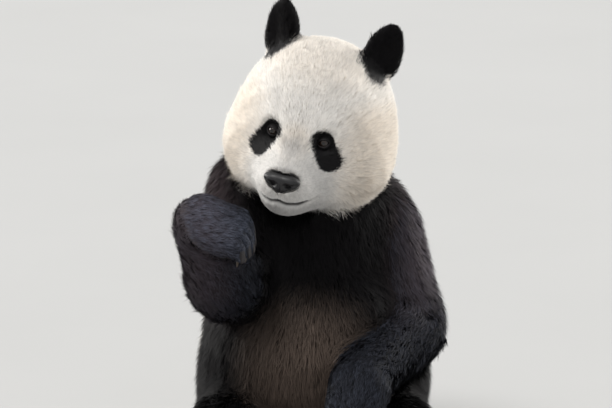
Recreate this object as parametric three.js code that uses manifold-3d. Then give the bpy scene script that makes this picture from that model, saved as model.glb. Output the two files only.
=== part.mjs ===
// A giant panda sitting upright, life size, as a still museum model.
// Its right forepaw is raised to the mouth and its left one lies in the lap.
// Millimetres. The panda sits on z = 0 and faces -Y, so its own left side is at +X.
// Every surface is the outline of the coat, out to the tips of the hair.

import * as THREE from 'three';
import { mergeVertices } from 'three/addons/utils/BufferGeometryUtils.js';
import Module from 'manifold-3d';

const wasm = await Module();
wasm.setup();

// ---------------------------------------------------------------- driving dimensions

const GAP = 0.4;                  // between neighbouring pieces
const HEAD_WIDTH = 328;           // across the cheeks
const HEAD_CENTRE = [6, -80, 685];
const HEAD_LEAN = 11;             // degrees, towards its own left shoulder
const HEAD_TURN = -14;            // degrees, towards its own right
const HEAD_NOD = 1;               // degrees, nose down

const TRUNK_WIDTH = 400;          // across the belly
const PAW_LENGTH = { fore: 128, hind: 172 };
const PAW_WIDTH = { fore: 112, hind: 122 };
const CLAW_LENGTH = 26;
const EYE_RADIUS = 12;
const EYES_APART = 89;            // between the middles of the eyes
const EYE_SINK = 7;               // from the tips of the coat down to the front of the eye

// Joints of the limbs: where each pivot lies, and the radius of the coat round it.
const ARMS = {
  left: {
    shoulder: { at: [116, 15, 470], radius: 98 },
    elbow: { at: [180, -58, 288], radius: 78 },
    wrist: { at: [92, -252, 246], radius: 58 },
    reach: [-0.24, -0.74, -0.58],     // from the wrist to the fingertips
    back: [0.1, -0.55, 0.83],         // out of the back of the paw
    curl: 20,                         // degrees that the digits bend towards the palm
  },
  right: {
    shoulder: { at: [-118, -10, 545], radius: 88 },
    elbow: { at: [-154, -178, 408], radius: 78 },
    wrist: { at: [-207, -276, 552], radius: 50 },
    reach: [0.96, -0.16, -0.2],
    back: [0.16, -0.5, 0.85],
    curl: 55,
  },
};

const LEG = {
  hip: { at: [104, 10, 112], radius: 114 },
  knee: { at: [180, -290, 84], radius: 87 },
  ankle: { at: [164, -492, 70], radius: 64 },
  heel: [164, -532, 30],
  reach: [0.12, -0.3, 0.95],
  back: [0, 0.95, 0.3],
  curl: 6,
};

const NECK = { root: [-10, 42, 535], top: [2, -12, 656], radius: [138, 120] };
const TAIL = { root: [0, 186, 104], tip: [0, 266, 42], radius: 48 };

// ---------------------------------------------------------------- volumes
// A volume is a function: the distance from a point to its surface, negative inside.

const vector = (at) => new THREE.Vector3(...at);
const onSide = (side, at) => [side * at[0], at[1], at[2]];

function smoothMin(a, b, reach) {
  const overlap = Math.max(reach - Math.abs(a - b), 0) / reach;
  return Math.min(a, b) - overlap * overlap * reach / 4;
}

const blended = (reach, ...volumes) => (p) =>
  volumes.reduce((nearest, volume) => smoothMin(nearest, volume(p), reach), 1e6);

const hollowed = (volume, ...holes) => (p) =>
  holes.reduce((distance, hole) => Math.max(distance, -hole(p)), volume(p));

const grown = (volume, by) => (p) => volume(p) - by;

// An ellipsoid, turned by degrees about x, y and z.
function egg(centre, radii, turn = [0, 0, 0]) {
  const angles = turn.map(THREE.MathUtils.degToRad);
  const placed = new THREE.Matrix4().makeRotationFromEuler(new THREE.Euler(...angles));
  placed.setPosition(vector(centre));
  const inverse = placed.invert();
  const local = new THREE.Vector3();
  return (p) => {
    local.copy(p).applyMatrix4(inverse);
    const x = local.x / radii[0];
    const y = local.y / radii[1];
    const z = local.z / radii[2];
    const scaled = Math.hypot(x, y, z);
    const slope = Math.hypot(x / radii[0], y / radii[1], z / radii[2]);
    return slope > 0 ? scaled * (scaled - 1) / slope : -Math.min(...radii);
  };
}

// A rounded bar from one point to another, its radius changing along it.
function bar(from, to, radiusFrom, radiusTo) {
  const start = vector(from);
  const along = vector(to).sub(start);
  const lengthSquared = along.lengthSq();
  const offset = new THREE.Vector3();
  return (p) => {
    offset.copy(p).sub(start);
    const share = THREE.MathUtils.clamp(offset.dot(along) / lengthSquared, 0, 1);
    offset.addScaledVector(along, -share);
    return offset.length() - THREE.MathUtils.lerp(radiusFrom, radiusTo, share);
  };
}

const between = (a, b) => bar(a.at, b.at, a.radius, b.radius);

// A plane through a point; its normal points to the piece that grows out of the other one.
function planeAt(at, normal) {
  const outward = vector(normal).normalize();
  return { normal: outward, offset: outward.dot(vector(at)) };
}

const beyond = (plane, by = 0) => (p) => plane.offset - by - plane.normal.dot(p);
const before = (plane, by = 0) => (p) => plane.normal.dot(p) - plane.offset - by;
const within = (...volumes) => (p) => Math.max(...volumes.map((volume) => volume(p)));

// The same volume inside a placed frame.
function framed(frame, volume) {
  const inverse = frame.clone().invert();
  const local = new THREE.Vector3();
  return (p) => volume(local.copy(p).applyMatrix4(inverse));
}

// ---------------------------------------------------------------- solids

const solidOf = (geometry) => {
  const bare = geometry.clone();
  bare.deleteAttribute('normal');
  bare.deleteAttribute('uv');
  const merged = mergeVertices(bare, 1e-3);
  return new wasm.Manifold(new wasm.Mesh({
    numProp: 3,
    vertProperties: new Float32Array(merged.attributes.position.array),
    triVerts: new Uint32Array(merged.index.array),
  }));
};

// How far a volume's surface lies from a point inside it, in a direction.
function reachOf(volume, from, direction) {
  const furthest = 420;
  const step = 3;
  const halvings = 12;
  const point = new THREE.Vector3();
  const isInside = (distance) => volume(point.copy(from).addScaledVector(direction, distance)) < 0;
  let inside = 0;
  while (inside < furthest && isInside(inside + step)) inside += step;
  let outside = inside + step;
  for (let halving = 0; halving < halvings; halving += 1) {
    const middle = (inside + outside) / 2;
    if (isInside(middle)) inside = middle;
    else outside = middle;
  }
  return inside;
}

// A sphere stretched along a spine, with every vertex pushed out to the surface of a volume.
function skinned(volume, spine, rings, sides) {
  const start = vector(spine[0]);
  const along = vector(spine[1]).sub(start);
  const axis = along.clone().normalize();
  const sphere = new THREE.SphereGeometry(1, sides, rings);
  sphere.applyQuaternion(new THREE.Quaternion().setFromUnitVectors(new THREE.Vector3(0, 1, 0), axis));
  const position = sphere.attributes.position;
  const direction = new THREE.Vector3();
  const base = new THREE.Vector3();
  for (let i = 0; i < position.count; i += 1) {
    direction.fromBufferAttribute(position, i).normalize();
    base.copy(start).addScaledVector(along, 0.5 + 0.5 * direction.dot(axis));
    base.addScaledVector(direction, reachOf(volume, base, direction));
    position.setXYZ(i, base.x, base.y, base.z);
  }
  return sphere;
}

// ---------------------------------------------------------------- frames

// A paw's frame: its origin at the wrist or heel, -Y to the fingertips, +Z out of its back.
function pawFrame(origin, reach, back) {
  const toTips = vector(reach).normalize();
  const up = vector(back);
  up.addScaledVector(toTips, -up.dot(toTips)).normalize();
  const y = toTips.clone().negate();
  const x = new THREE.Vector3().crossVectors(y, up);
  return new THREE.Matrix4().makeBasis(x, y, up).setPosition(vector(origin));
}

const headFrame = (() => {
  const lean = new THREE.Matrix4().makeRotationY(THREE.MathUtils.degToRad(HEAD_LEAN));
  const turn = new THREE.Matrix4().makeRotationZ(THREE.MathUtils.degToRad(HEAD_TURN));
  const nod = new THREE.Matrix4().makeRotationX(THREE.MathUtils.degToRad(HEAD_NOD));
  return lean.multiply(turn).multiply(nod).setPosition(vector(HEAD_CENTRE));
})();

const onHead = (at) => vector(at).applyMatrix4(headFrame).toArray();

// ---------------------------------------------------------------- pieces
// Each piece has a shape: a function from growth in millimetres to a solid. Pieces are listed
// so that an earlier one stays whole, and is cut with a gap out of each later one it runs into.
// Two pieces that meet at a plane are trimmed there instead.

const OVERRUN = 14;       // how far a limb's surface runs on past its plane before it is trimmed
const FLATTEN = 0.3;     // facets that lie this close to one plane are merged
const pieces = [];

function piece(name, material, shape, meets = []) {
  pieces.push({ name, material, shape, meets });
}

const keepBeyond = (solid, plane, growth) =>
  solid.trimByPlane(plane.normal.toArray(), plane.offset + GAP / 2 - growth);

const keepBefore = (solid, plane, growth) =>
  solid.trimByPlane(plane.normal.clone().negate().toArray(), GAP / 2 - growth - plane.offset);

const onFloor = (solid) => solid.trimByPlane([0, 0, 1], 0);

// ---- head, in its own frame

const cheekRadius = 94;
const cheek = HEAD_WIDTH / 2 - cheekRadius;
const skull = blended(
  42,
  egg([0, 0, 18], [150, 136, 150]),
  egg([cheek, -20, -46], [cheekRadius, 108, 92]),
  egg([-cheek, -20, -46], [cheekRadius, 108, 92]),
  egg([0, 56, -18], [128, 96, 124]),
  egg([0, -62, 26], [102, 74, 86]),
);
const muzzle = blended(
  24,
  egg([0, -124, -80], [62, 84, 46]),
  bar([0, -92, -10], [0, -175, -57], 42, 30),
  egg([0, -122, -114], [45, 66, 32]),
);
const skullAndMuzzle = blended(48, skull, muzzle);
const headVolume = framed(headFrame, skullAndMuzzle);
const headSpine = [onHead([0, 40, 20]), onHead([0, -132, -74])];

const noseVolume = framed(headFrame, blended(
  10,
  egg([14, -199, -67], [20, 14, 15], [0, 0, 12]),
  egg([-14, -199, -67], [20, 14, 15], [0, 0, -12]),
  egg([0, -200, -77], [12, 12, 14]),
));

// Where an eyeball's centre lies in the head's frame, and the way the eye looks.
function eyePlace(side) {
  const gaze = new THREE.Vector3(side * 0.22, -1, 0.02).normalize();
  const behind = vector(onSide(side, [EYES_APART / 2 - 12, -60, 0]));
  const surface = reachOf(skullAndMuzzle, behind, gaze);
  return { gaze, centre: behind.addScaledVector(gaze, surface - EYE_SINK - EYE_RADIUS) };
}

// The hollow in front of an eye, opening outwards through the coat.
function eyeHollow(side) {
  const depth = 40;
  const { gaze, centre } = eyePlace(side);
  const cone = new THREE.CylinderGeometry(19, 7, depth, 12, 1);
  cone.translate(0, depth / 2 + 1, 0);
  cone.applyQuaternion(new THREE.Quaternion().setFromUnitVectors(new THREE.Vector3(0, 1, 0), gaze));
  cone.translate(...centre);
  cone.applyMatrix4(headFrame);
  return solidOf(cone);
}

function headShape(growth) {
  const whole = solidOf(skinned(grown(headVolume, growth), headSpine, 19, 25));
  return whole.subtract(eyeHollow(1)).subtract(eyeHollow(-1));
}

const noseShape = (growth) => solidOf(
  skinned(grown(noseVolume, growth), [onHead([-10, -199, -68]), onHead([10, -199, -68])], 9, 12),
);

function eyeShape(side, growth) {
  const ball = new THREE.SphereGeometry(EYE_RADIUS + growth, 12, 8);
  ball.rotateX(Math.PI / 2);
  ball.translate(...eyePlace(side).centre);
  ball.applyMatrix4(headFrame);
  return solidOf(ball);
}

const EAR = { forward: 4, spread: 5.5, sway: 3.5, turn: 30 };

function earShape(side, growth) {
  const frame = new THREE.Matrix4().makeRotationFromEuler(new THREE.Euler(
    THREE.MathUtils.degToRad(EAR.forward),
    THREE.MathUtils.degToRad(side * EAR.spread + EAR.sway),
    THREE.MathUtils.degToRad(side * EAR.turn),
    'YZX',
  ));
  frame.setPosition(side * 95, 10, 151);
  const shell = blended(14, egg([0, 0, -9], [39, 21, 58]), egg([side * 3, 0, 28], [24, 14, 36]));
  const cup = egg([0, -23, 10], [25, 14, 38]);
  const placed = headFrame.clone().multiply(frame);
  const spine = [[0, 4, -40], [0, 4, 40]].map((at) => vector(at).applyMatrix4(placed).toArray());
  return solidOf(skinned(grown(framed(placed, hollowed(shell, cup)), growth), spine, 9, 12));
}

// ---- paws, in their own frames

const DIGITS = 5;
const digitPlace = (index) => (index - (DIGITS - 1) / 2) / ((DIGITS - 1) / 2);

// Where a digit springs from the paw and where it ends; place runs from -1 to 1 across the paw.
function digit(place, { length, width, curl }) {
  const bow = 1 - place * place;
  const bend = THREE.MathUtils.degToRad(curl);
  const x = place * (width / 2 - 15);
  const root = [x * 0.92, -length * (0.56 + 0.08 * bow), 2];
  const reach = length * (0.26 + 0.05 * bow);
  const tip = [x, root[1] - reach * Math.cos(bend), root[2] - 4 - reach * Math.sin(bend)];
  return { root, tip, bend };
}

function pawVolume(paw) {
  const { length, width, thickness } = paw;
  const palm = egg([0, -length * 0.34, 0], [width / 2, length * 0.46, thickness / 2]);
  const heel = egg([0, -length * 0.04, 2], [width * 0.42, length * 0.26, thickness * 0.5]);
  const pad = egg([0, -length * 0.52, -thickness * 0.34], [width * 0.36, length * 0.15, 14]);
  const digits = [];
  for (let index = 0; index < DIGITS; index += 1) {
    const { root, tip } = digit(digitPlace(index), paw);
    digits.push(bar(root, tip, 17, 14));
  }
  return framed(paw.frame, blended(10, blended(26, palm, heel), pad, ...digits));
}

// A claw is a cone bent towards the palm, its root set inside its digit.
function clawShape(paw, index, growth) {
  const sides = 5;
  const rows = 3;
  const droop = 7;
  const claw = new THREE.ConeGeometry(4.4 + growth, CLAW_LENGTH + 2 * growth, sides, rows);
  claw.translate(0, CLAW_LENGTH / 2, 0);
  claw.rotateX(Math.PI);
  const position = claw.attributes.position;
  for (let i = 0; i < position.count; i += 1) {
    const share = -position.getY(i) / CLAW_LENGTH;
    position.setZ(i, position.getZ(i) - droop * share * share);
  }
  const { tip, bend } = digit(digitPlace(index), paw);
  claw.rotateX(bend + THREE.MathUtils.degToRad(14));
  const setBack = 7;
  claw.translate(tip[0], tip[1] - setBack * Math.cos(bend), tip[2] - setBack * Math.sin(bend));
  claw.applyMatrix4(paw.frame);
  return solidOf(claw);
}

const pawSpine = (paw) => [-paw.width / 4, paw.width / 4].map((x) =>
  new THREE.Vector3(x, -paw.length * 0.36, 0).applyMatrix4(paw.frame).toArray());

// ---- limbs

// The direction half way between arriving at a joint and leaving it.
function bisector(from, at, to) {
  const arriving = vector(at).sub(vector(from)).normalize();
  const leaving = vector(to).sub(vector(at)).normalize();
  return arriving.add(leaving).toArray();
}

// Points a share of the way in from both ends of a stretch of limb.
function inset(from, to, share) {
  const start = vector(from);
  const end = vector(to);
  return [start.clone().lerp(end, share).toArray(), end.clone().lerp(start, share).toArray()];
}

// A limb of two lengths and a paw. Its surface is one blended volume, parted at planes.
function limb(top, middle, low, paw, trunkPlane) {
  const lengths = blended(30, between(top, middle), between(middle, low));
  const whole = blended(24, lengths, pawVolume(paw));
  const pawTip = new THREE.Vector3(0, -paw.length, 0).applyMatrix4(paw.frame).toArray();
  const middlePlane = planeAt(middle.at, bisector(top.at, middle.at, low.at));
  const lowPlane = planeAt(low.at, bisector(middle.at, low.at, pawTip));
  return { top, middle, low, paw, lengths, whole, trunkPlane, middlePlane, lowPlane };
}

function upperShape({ lengths, top, middle, trunkPlane, middlePlane }, growth) {
  const reach = within(lengths, beyond(trunkPlane, OVERRUN), before(middlePlane, OVERRUN));
  const rough = solidOf(skinned(grown(reach, growth), inset(top.at, middle.at, 0.3), 10, 14));
  return keepBefore(keepBeyond(rough, trunkPlane, growth), middlePlane, growth);
}

function lowerShape({ whole, middle, low, middlePlane, lowPlane }, growth) {
  const reach = within(whole, beyond(middlePlane, OVERRUN), before(lowPlane, OVERRUN));
  const rough = solidOf(skinned(grown(reach, growth), inset(middle.at, low.at, 0.25), 9, 14));
  return keepBefore(keepBeyond(rough, middlePlane, growth), lowPlane, growth);
}

function pawShape({ whole, paw, lowPlane }, growth) {
  const reach = within(whole, beyond(lowPlane, OVERRUN));
  return keepBeyond(solidOf(skinned(grown(reach, growth), pawSpine(paw), 15, 13)), lowPlane, growth);
}

function arm(name, side) {
  const { shoulder, elbow, wrist, reach, back, curl } = ARMS[name];
  const paw = {
    length: PAW_LENGTH.fore,
    width: PAW_WIDTH.fore,
    thickness: 62,
    curl,
    frame: pawFrame(wrist.at, reach, back),
  };
  const inward = 26;
  const [x, y, z] = shoulder.at;
  return limb(shoulder, elbow, wrist, paw, planeAt([x - side * inward, y, z], [side * 0.9, 0, -0.43]));
}

function leg(side) {
  const placed = ({ at, radius }) => ({ at: onSide(side, at), radius });
  const paw = {
    length: PAW_LENGTH.hind,
    width: PAW_WIDTH.hind,
    thickness: 74,
    curl: LEG.curl,
    frame: pawFrame(onSide(side, LEG.heel), onSide(side, LEG.reach), onSide(side, LEG.back)),
  };
  const inward = 30;
  const [x, y, z] = LEG.hip.at;
  const trunkPlane = planeAt([side * (x - inward), y, z], [side * 0.82, -0.57, 0]);
  return limb(placed(LEG.hip), placed(LEG.knee), placed(LEG.ankle), paw, trunkPlane);
}

const arms = { left: arm('left', 1), right: arm('right', -1) };
const legs = { left: leg(1), right: leg(-1) };

// ---- trunk, neck and tail

const belly = TRUNK_WIDTH / 2;
const neckVolume = bar(NECK.root, NECK.top, ...NECK.radius);
const tailVolume = bar(TAIL.root, TAIL.tip, TAIL.radius, TAIL.radius * 0.9);
const torso = blended(
  60,
  egg([4, 36, 165], [belly + 32, 204, 178]),
  egg([2, -45, 268], [belly + 12, 188, 172]),
  egg([-2, 68, 350], [belly - 6, 150, 186]),
  egg([-12, -5, 462], [belly - 28, 150, 146]),
  bar([-100, 40, 535], [88, 40, 498], 86, 86),
);
const neckPlane = planeAt([-10, 10, 576], [0.05, -0.3, 0.95]);
const tailPlane = planeAt([0, 196, 118], [0, 0.75, -0.66]);

// The trunk swells towards each limb, but stays inside the limb that is cut out of it.
const swell = (volume) => grown(volume, -18);
const rootOf = ({ top, middle }) => {
  const share = 0.4;
  const end = vector(top.at).lerp(vector(middle.at), share).toArray();
  return bar(top.at, end, top.radius, THREE.MathUtils.lerp(top.radius, middle.radius, share));
};
const trunkVolume = blended(
  52,
  blended(60, torso, neckVolume),
  ...[arms.left, arms.right, legs.left, legs.right].map((part) => swell(rootOf(part))),
  swell(tailVolume),
);

function trunkShape(growth) {
  const reach = within(trunkVolume, before(neckPlane, OVERRUN));
  const rough = solidOf(skinned(grown(reach, growth), [[0, 30, 190], [-8, 30, 450]], 17, 24));
  return keepBefore(rough, neckPlane, growth);
}

function neckShape(growth) {
  const reach = within(blended(60, torso, neckVolume), beyond(neckPlane, OVERRUN));
  const rough = solidOf(skinned(grown(reach, growth), [[-8, 40, 590], [-4, 30, 616]], 8, 18));
  return keepBeyond(rough, neckPlane, growth);
}

function tailShape(growth) {
  const reach = within(tailVolume, beyond(tailPlane, OVERRUN));
  const rough = solidOf(skinned(grown(reach, growth), inset(TAIL.root, TAIL.tip, 0.3), 8, 12));
  return keepBeyond(rough, tailPlane, growth);
}

// ---------------------------------------------------------------- assembly

const finish = (color, roughness) => new THREE.MeshStandardMaterial({ color, roughness, metalness: 0 });
const whiteCoat = finish(0xe6ddcd, 0.9);
const blackCoat = finish(0x1b1a1d, 0.85);
const noseLeather = finish(0x17161a, 0.45);
const eyeGloss = finish(0x120c0a, 0.08);
const clawHorn = finish(0x3a332c, 0.4);

function addClaws(prefix, { paw }) {
  for (let index = 0; index < DIGITS; index += 1) {
    piece(`${prefix}_${index + 1}`, clawHorn, (growth) => clawShape(paw, index, growth));
  }
}

for (const name of ['left', 'right']) {
  addClaws(`claw_fore_${name}`, arms[name]);
  addClaws(`claw_hind_${name}`, legs[name]);
}
piece('nose', noseLeather, noseShape);
piece('eye_left', eyeGloss, (growth) => eyeShape(1, growth));
piece('eye_right', eyeGloss, (growth) => eyeShape(-1, growth));
piece('ear_left', blackCoat, (growth) => earShape(1, growth));
piece('ear_right', blackCoat, (growth) => earShape(-1, growth));
piece('head', whiteCoat, headShape);
for (const name of ['left', 'right']) {
  const foreLimb = arms[name];
  piece(`forepaw_${name}`, blackCoat, (growth) => pawShape(foreLimb, growth));
  piece(`forearm_${name}`, blackCoat, (growth) => lowerShape(foreLimb, growth), [`forepaw_${name}`]);
  piece(`upper_arm_${name}`, blackCoat, (growth) => upperShape(foreLimb, growth), [`forearm_${name}`]);
}
for (const name of ['left', 'right']) {
  const hindLimb = legs[name];
  piece(`hind_paw_${name}`, blackCoat, (growth) => pawShape(hindLimb, growth));
  piece(`shin_${name}`, blackCoat, (growth) => lowerShape(hindLimb, growth), [`hind_paw_${name}`]);
  piece(`thigh_${name}`, blackCoat, (growth) => upperShape(hindLimb, growth), [`shin_${name}`]);
}
piece('tail', whiteCoat, tailShape);
piece('neck', whiteCoat, neckShape);
piece('trunk', whiteCoat, trunkShape, ['neck']);

function meshOf(solid) {
  const { vertProperties, triVerts } = solid.getMesh();
  const geometry = new THREE.BufferGeometry();
  geometry.setAttribute('position', new THREE.BufferAttribute(vertProperties, 3));
  geometry.setIndex(new THREE.BufferAttribute(triVerts, 1));
  geometry.computeVertexNormals();
  return geometry;
}

function boxesMeet(a, b) {
  const first = a.boundingBox();
  const second = b.boundingBox();
  return [0, 1, 2].every((axis) => first.min[axis] < second.max[axis] && second.min[axis] < first.max[axis]);
}

const largestPart = (solid) =>
  solid.decompose().reduce((best, part) => (part.volume() > best.volume() ? part : best));

const panda = new THREE.Group();
const cutters = [];
for (const { name, material, shape, meets } of pieces) {
  let solid = onFloor(shape(0));
  for (const cutter of cutters) {
    if (!meets.includes(cutter.name) && boxesMeet(solid, cutter.solid)) {
      solid = solid.subtract(cutter.solid);
    }
  }
  const mesh = new THREE.Mesh(meshOf(largestPart(solid).simplify(FLATTEN)), material);
  mesh.name = name;
  panda.add(mesh);
  cutters.push({ name, solid: shape(GAP) });
}

export default panda;
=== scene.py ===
"""Looks of a giant panda that sits upright, life size.

One skin replaces every solid of flesh and lies inside them by the depth of the coat. The coat is
made of tufts: narrow blades that start on the skin, follow the lie of the hair and end near the
surface of the solids. Metres, +Z up. The panda faces -Y, so its own left side is at +X.
Places on the animal are given in millimetres, as in its solids.
"""

import math

import bmesh
import bpy
import numpy as np
from mathutils import Matrix, Vector
from mathutils.bvhtree import BVHTree
from mathutils.kdtree import KDTree


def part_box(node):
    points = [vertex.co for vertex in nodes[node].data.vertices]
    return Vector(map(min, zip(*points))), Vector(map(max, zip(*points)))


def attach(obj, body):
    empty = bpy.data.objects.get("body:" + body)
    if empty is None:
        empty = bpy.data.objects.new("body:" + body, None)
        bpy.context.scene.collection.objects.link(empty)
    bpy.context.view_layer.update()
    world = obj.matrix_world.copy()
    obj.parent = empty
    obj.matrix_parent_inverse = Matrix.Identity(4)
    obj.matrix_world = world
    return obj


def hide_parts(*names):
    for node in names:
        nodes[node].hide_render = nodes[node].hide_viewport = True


MM = 0.001
SIDES = {"left": 1, "right": -1}
random = np.random.default_rng(11)

# ---------------------------------------------------------------- places shared with the solids

HEAD_CENTRE = (6, -80, 685)
HEAD_LEAN, HEAD_TURN, HEAD_NOD = 11, -14, 1
EAR_AT = (95, 10, 151)
EAR = {"forward": 4, "spread": 5.5, "sway": 3.5, "turn": 30}
EYE_RADIUS = 12
EYE_GAZE = (0.22, -1, 0.02)
SOCKET_RADIUS = 22

LIMBS = {
    "arm_left": ((116, 15, 470), (180, -58, 288), (92, -252, 246)),
    "arm_right": ((-118, -10, 545), (-154, -178, 408), (-207, -276, 552)),
    "leg_left": ((104, 10, 112), (180, -290, 84), (164, -492, 70)),
    "leg_right": ((-104, 10, 112), (-180, -290, 84), (-164, -492, 70)),
}
PAWS = {
    "arm_left": {"heel": (92, -252, 246), "reach": (-0.24, -0.74, -0.58), "back": (0.1, -0.55, 0.83)},
    "arm_right": {"heel": (-207, -276, 552), "reach": (0.96, -0.16, -0.2), "back": (0.16, -0.5, 0.85)},
    "leg_left": {"heel": (164, -532, 30), "reach": (0.12, -0.3, 0.95), "back": (0, 0.95, 0.3)},
    "leg_right": {"heel": (-164, -532, 30), "reach": (-0.12, -0.3, 0.95), "back": (0, 0.95, 0.3)},
}
PAW_SIZE = {
    "arm": {"length": 128, "width": 112, "thickness": 62},
    "leg": {"length": 172, "width": 122, "thickness": 74},
}
CURL = {"arm_left": 20, "arm_right": 55, "leg_left": 6, "leg_right": 6}
CLAW_LENGTH = 26
DIGITS = 5
DIGIT_RADIUS = 15
LIMB_NODES = {
    "arm": ("upper_arm", "forearm", "forepaw"),
    "leg": ("thigh", "shin", "hind_paw"),
}
PAW = 2                   # the place of a limb's paw among its nodes
TAIL = ((0, 186, 104), (0, 266, 42))

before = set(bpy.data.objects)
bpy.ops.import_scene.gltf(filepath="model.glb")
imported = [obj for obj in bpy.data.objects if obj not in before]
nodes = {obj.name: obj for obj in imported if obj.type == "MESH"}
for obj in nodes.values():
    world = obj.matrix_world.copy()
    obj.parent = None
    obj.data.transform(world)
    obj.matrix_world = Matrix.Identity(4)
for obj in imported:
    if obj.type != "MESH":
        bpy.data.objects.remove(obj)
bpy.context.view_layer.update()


def turned(degrees, axis):
    return Matrix.Rotation(math.radians(degrees), 4, axis)


def placed(at):
    return Matrix.Translation(Vector(at) * MM)


def basis(x, y, z):
    return Matrix((x, y, z)).transposed().to_4x4()


def paw_frame(heel, reach, back):
    """A paw's frame: origin at its heel, -Y to the fingertips, +Z out of its back."""
    to_tips = Vector(reach).normalized()
    up = Vector(back)
    up = (up - to_tips * up.dot(to_tips)).normalized()
    across = (-to_tips).cross(up)
    return placed(heel) @ basis(across, -to_tips, up)


def ear_frame(side):
    turns = turned(side * EAR["spread"] + EAR["sway"], "Y") @ turned(side * EAR["turn"], "Z")
    place = placed((side * EAR_AT[0], EAR_AT[1], EAR_AT[2]))
    return head_frame @ place @ turns @ turned(EAR["forward"], "X")


head_frame = placed(HEAD_CENTRE) @ turned(HEAD_LEAN, "Y")
head_frame = head_frame @ turned(HEAD_TURN, "Z") @ turned(HEAD_NOD, "X")
ear_frames = {side: ear_frame(side) for side in SIDES.values()}
paw_frames = {name: paw_frame(**paw) for name, paw in PAWS.items()}

# ---------------------------------------------------------------- arithmetic on many points


def unit(vectors):
    return vectors / np.maximum(np.linalg.norm(vectors, axis=-1, keepdims=True), 1e-9)


def dot(a, b):
    return np.sum(a * b, axis=-1)


def ramp(start, end, values):
    """0 at start, 1 at end, and smooth between them."""
    share = np.clip((values - start) / (end - start), 0, 1)
    return share * share * (3 - 2 * share)


def blend(a, b, share):
    return a + (b - a) * share


def to_local(points, matrix):
    """Points in a placed frame, in millimetres."""
    inverse = np.array(matrix.inverted())
    return (points @ inverse[:3, :3].T + inverse[:3, 3]) / MM


def to_world(points, matrix):
    turn = np.array(matrix)
    return np.asarray(points, float) * MM @ turn[:3, :3].T + turn[:3, 3]


def aimed(direction, matrix):
    """A direction of a placed frame, in the world."""
    return np.array(matrix)[:3, :3] @ np.asarray(direction, float)


def near_bar(points, start, end):
    """Distance from points to a straight bar, and the share of the way along it."""
    start, end = np.asarray(start, float), np.asarray(end, float)
    along = end - start
    share = np.clip((points - start) @ along / (along @ along), 0, 1)
    gap = np.linalg.norm(points - start - share[:, None] * along, axis=1)
    return gap, share


def rotated(x, y, angle):
    """Two coordinates after a turn by an angle."""
    c, s = math.cos(angle), math.sin(angle)
    return x * c - y * s, x * s + y * c


def around(sides):
    """Angles at even steps round a ring."""
    return np.linspace(0, 2 * math.pi, sides, endpoint=False)


def egg(points, centre, radii):
    """1 on the surface of an ellipsoid, less inside it."""
    return np.linalg.norm((points - np.asarray(centre)) / np.asarray(radii), axis=1)


# ---------------------------------------------------------------- meshes


def read(values, name, width, dtype=np.float32):
    """A property of all of a mesh's elements, as an array of some width."""
    found = np.empty(len(values) * width, dtype)
    values.foreach_get(name, found)
    return found.reshape(-1, width) if width > 1 else found


def linked(name, mesh):
    made = bpy.data.objects.new(name, mesh)
    bpy.context.scene.collection.objects.link(made)
    return made


def node_surface(names):
    """Corners and triangles of some solids, and the place in the list of each triangle's solid."""
    corners, triangles, owners = [], [], []
    count = 0
    for index, name in enumerate(names):
        mesh = nodes[name].data
        mesh.calc_loop_triangles()
        found = read(mesh.vertices, "co", 3)
        corners.append(found)
        triangle = read(mesh.loop_triangles, "vertices", 3, np.int32)
        triangles.append(triangle + count)
        owners.append(np.full(len(triangle), index))
        count += len(found)
    return np.concatenate(corners), np.concatenate(triangles), np.concatenate(owners)


def remeshed(corners, triangles, voxel):
    mesh = bpy.data.meshes.new("flesh")
    mesh.from_pydata(corners.tolist(), [], triangles.tolist())
    rough = linked("flesh", mesh)
    remesh = rough.modifiers.new("Remesh", "REMESH")
    remesh.mode = "VOXEL"
    remesh.voxel_size = voxel
    seen = rough.evaluated_get(bpy.context.evaluated_depsgraph_get())
    result = bpy.data.meshes.new_from_object(seen)
    bpy.data.objects.remove(rough)
    return result


def keep_largest(bm):
    """Removes every island but the one with the most vertices."""
    waiting = set(bm.verts)
    islands = []
    for start in bm.verts:
        if start not in waiting:
            continue
        waiting.discard(start)
        island = [start]
        for vertex in island:
            for edge in vertex.link_edges:
                other = edge.other_vert(vertex)
                if other in waiting:
                    waiting.discard(other)
                    island.append(other)
        islands.append(island)
    islands.sort(key=len)
    for island in islands[:-1]:
        bmesh.ops.delete(bm, geom=island, context="VERTS")


def refined(bm, wanted):
    """Halves the edges of each face whose middle is wanted."""
    middles = np.array([face.calc_center_median() for face in bm.faces])
    chosen = wanted(middles)
    faces = [face for face, is_chosen in zip(bm.faces, chosen) if is_chosen]
    edges = dict.fromkeys(edge for face in faces for edge in face.edges)
    bmesh.ops.subdivide_edges(bm, edges=list(edges), cuts=1, use_grid_fill=True)


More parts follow.
